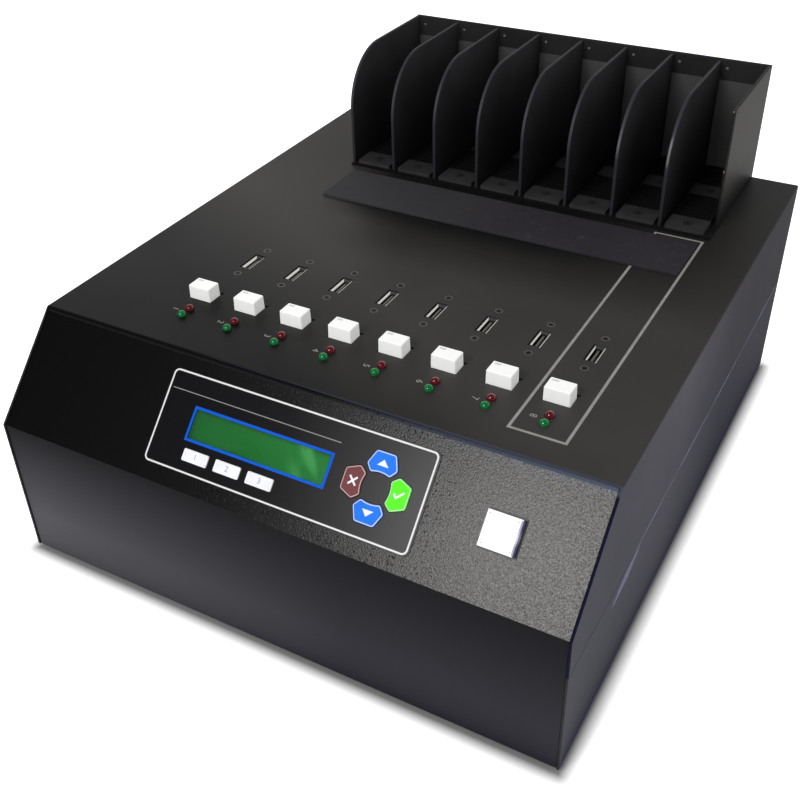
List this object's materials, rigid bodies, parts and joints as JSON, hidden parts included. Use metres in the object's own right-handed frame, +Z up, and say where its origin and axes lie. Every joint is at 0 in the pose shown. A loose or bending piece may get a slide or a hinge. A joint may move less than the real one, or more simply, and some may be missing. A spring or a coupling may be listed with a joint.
{
  "type": "hard drive duplicator",
  "caption": "Desktop duplicator for bare drives: sheet-metal case with slanted control panel, row of sockets and buttons on the deck, open rack of upright drive bays behind.",
  "frame": {"origin": "on the ground plane, under the middle of the bounding box", "axes": "+X to the right seen from the front, +Y towards the rear, +Z up"},
  "size_m": [0.33, 0.385, 0.215],
  "materials": {
    "case": "fine satin dark powder coat",
    "panel": "coarse textured dark powder coat on the slope, smooth satin below",
    "tray": "smooth satin grey paint",
    "rack": "fine black powder coat with worn edges",
    "bay_metal": "satin grey",
    "mat": "matte rubber sheet",
    "feet": "matte black rubber",
    "screw_steel": "zinc plated",
    "screw_black": "blackened steel",
    "shell_steel": "bright plated shell",
    "socket_plastic": "black moulded plastic",
    "button_white": "white moulded plastic, satin gloss",
    "lamp_green": "tinted clear lamp",
    "lamp_red": "tinted clear lamp",
    "overlay": "printed polyester film",
    "window": "tinted clear window over the display",
    "display_glass": "back-lit display glass",
    "key_white": "smooth white key",
    "key_blue": "smooth blue key",
    "key_maroon": "smooth maroon key",
    "key_green": "smooth green key",
    "power_white": "translucent white lit cap",
    "power_bezel": "black moulded housing",
    "board_green": "solder-mask green circuit board",
    "board_parts": "black moulded parts",
    "cable_red": "flat flexible cable jacket",
    "brass_post": "turned brass",
    "supply_steel": "galvanised sheet",
    "fan_black": "black moulded plastic",
    "guard_chrome": "bright plated wire"
  },
  "bodies": {
    "case": {"base_tray": "tray", "bay_backstops": "bay_metal", "bay_floors": "rack", "channel_board": "board_green", "channel_switches": "board_parts", "control_overlay": "overlay", "controller_board": "board_green", "countersunk_screws": "screw_black", "data_cables": "cable_red", "display_glass": "display_glass", "display_module": "board_parts", "display_window": "window", "fan_frame_left": "fan_black", "fan_frame_right": "fan_black", "finger_guards": "guard_chrome", "front_panel": "panel", "green_lamps": "lamp_green", "keypad_board": "board_green", "mains_inlet": "fan_black", "pan_screws": "screw_steel", "port_bodies": "socket_plastic", "port_shells": "shell_steel", "posts": "brass_post", "power_supply": "supply_steel", "power_switch": "power_bezel", "rack_back_wall": "rack", "rack_base": "rack", "rack_divider_1": "rack", "rack_divider_2": "rack", "rack_divider_3": "rack", "rack_divider_4": "rack", "rack_divider_5": "rack", "rack_divider_6": "rack", "rack_divider_7": "rack", "rack_left_wall": "rack", "rack_right_wall": "rack", "rear_panel": "case", "red_lamps": "lamp_red", "rubber_feet": "feet", "rubber_mat": "mat", "top_cover": "case"},
    "channel_button_1_body": {"channel_button_1": "button_white"},
    "channel_button_2_body": {"channel_button_2": "button_white"},
    "channel_button_3_body": {"channel_button_3": "button_white"},
    "channel_button_4_body": {"channel_button_4": "button_white"},
    "channel_button_5_body": {"channel_button_5": "button_white"},
    "channel_button_6_body": {"channel_button_6": "button_white"},
    "channel_button_7_body": {"channel_button_7": "button_white"},
    "channel_button_8_body": {"channel_button_8": "button_white"},
    "menu_key_1_body": {"menu_key_1": "key_white"},
    "menu_key_2_body": {"menu_key_2": "key_white"},
    "menu_key_3_body": {"menu_key_3": "key_white"},
    "up_key_body": {"up_key": "key_blue"},
    "back_key_body": {"back_key": "key_maroon"},
    "down_key_body": {"down_key": "key_blue"},
    "enter_key_body": {"enter_key": "key_green"},
    "power_button_body": {"power_button": "power_white"},
    "mains_rocker_body": {"mains_rocker": "fan_black"},
    "fan_rotor_left_body": {"fan_rotor_left": "fan_black"},
    "fan_rotor_right_body": {"fan_rotor_right": "fan_black"}
  },
  "joints": [
    {"name": "channel_button_1_press", "type": "slide", "parent": "case", "child": "channel_button_1_body", "axis": [0, 0, -1], "range_m": [0, 0.002], "stiffness_N_per_m": 600, "springref_m": -0.001},
    {"name": "channel_button_2_press", "type": "slide", "parent": "case", "child": "channel_button_2_body", "axis": [0, 0, -1], "range_m": [0, 0.002], "stiffness_N_per_m": 600, "springref_m": -0.001},
    {"name": "channel_button_3_press", "type": "slide", "parent": "case", "child": "channel_button_3_body", "axis": [0, 0, -1], "range_m": [0, 0.002], "stiffness_N_per_m": 600, "springref_m": -0.001},
    {"name": "channel_button_4_press", "type": "slide", "parent": "case", "child": "channel_button_4_body", "axis": [0, 0, -1], "range_m": [0, 0.002], "stiffness_N_per_m": 600, "springref_m": -0.001},
    {"name": "channel_button_5_press", "type": "slide", "parent": "case", "child": "channel_button_5_body", "axis": [0, 0, -1], "range_m": [0, 0.002], "stiffness_N_per_m": 600, "springref_m": -0.001},
    {"name": "channel_button_6_press", "type": "slide", "parent": "case", "child": "channel_button_6_body", "axis": [0, 0, -1], "range_m": [0, 0.002], "stiffness_N_per_m": 600, "springref_m": -0.001},
    {"name": "channel_button_7_press", "type": "slide", "parent": "case", "child": "channel_button_7_body", "axis": [0, 0, -1], "range_m": [0, 0.002], "stiffness_N_per_m": 600, "springref_m": -0.001},
    {"name": "channel_button_8_press", "type": "slide", "parent": "case", "child": "channel_button_8_body", "axis": [0, 0, -1], "range_m": [0, 0.002], "stiffness_N_per_m": 600, "springref_m": -0.001},
    {"name": "menu_key_1_press", "type": "slide", "parent": "case", "child": "menu_key_1_body", "axis": [0, 0.7107, -0.7035], "range_m": [0, 0.0005], "stiffness_N_per_m": 1500, "springref_m": -0.0005},
    {"name": "menu_key_2_press", "type": "slide", "parent": "case", "child": "menu_key_2_body", "axis": [0, 0.7107, -0.7035], "range_m": [0, 0.0005], "stiffness_N_per_m": 1500, "springref_m": -0.0005},
    {"name": "menu_key_3_press", "type": "slide", "parent": "case", "child": "menu_key_3_body", "axis": [0, 0.7107, -0.7035], "range_m": [0, 0.0005], "stiffness_N_per_m": 1500, "springref_m": -0.0005},
    {"name": "up_key_press", "type": "slide", "parent": "case", "child": "up_key_body", "axis": [0, 0.7107, -0.7035], "range_m": [0, 0.0005], "stiffness_N_per_m": 1500, "springref_m": -0.0005},
    {"name": "back_key_press", "type": "slide", "parent": "case", "child": "back_key_body", "axis": [0, 0.7107, -0.7035], "range_m": [0, 0.0005], "stiffness_N_per_m": 1500, "springref_m": -0.0005},
    {"name": "down_key_press", "type": "slide", "parent": "case", "child": "down_key_body", "axis": [0, 0.7107, -0.7035], "range_m": [0, 0.0005], "stiffness_N_per_m": 1500, "springref_m": -0.0005},
    {"name": "enter_key_press", "type": "slide", "parent": "case", "child": "enter_key_body", "axis": [0, 0.7107, -0.7035], "range_m": [0, 0.0005], "stiffness_N_per_m": 1500, "springref_m": -0.0005},
    {"name": "power_button_press", "type": "slide", "parent": "case", "child": "power_button_body", "axis": [0, 0.7107, -0.7035], "range_m": [0, 0.002], "stiffness_N_per_m": 800, "springref_m": -0.001},
    {"name": "mains_rocker_tilt", "type": "hinge", "parent": "case", "child": "mains_rocker_body", "pos_m": [0, 0.18748, 0.076], "axis": [-1, 0, 0], "range_deg": [0, 20]},
    {"name": "fan_left_spin", "type": "hinge", "parent": "case", "child": "fan_rotor_left_body", "pos_m": [-0.103, 0.17628, 0.071], "axis": [0, 1, 0], "continuous": true},
    {"name": "fan_right_spin", "type": "hinge", "parent": "case", "child": "fan_rotor_right_body", "pos_m": [0.103, 0.17628, 0.071], "axis": [0, 1, 0], "continuous": true}
  ]
}
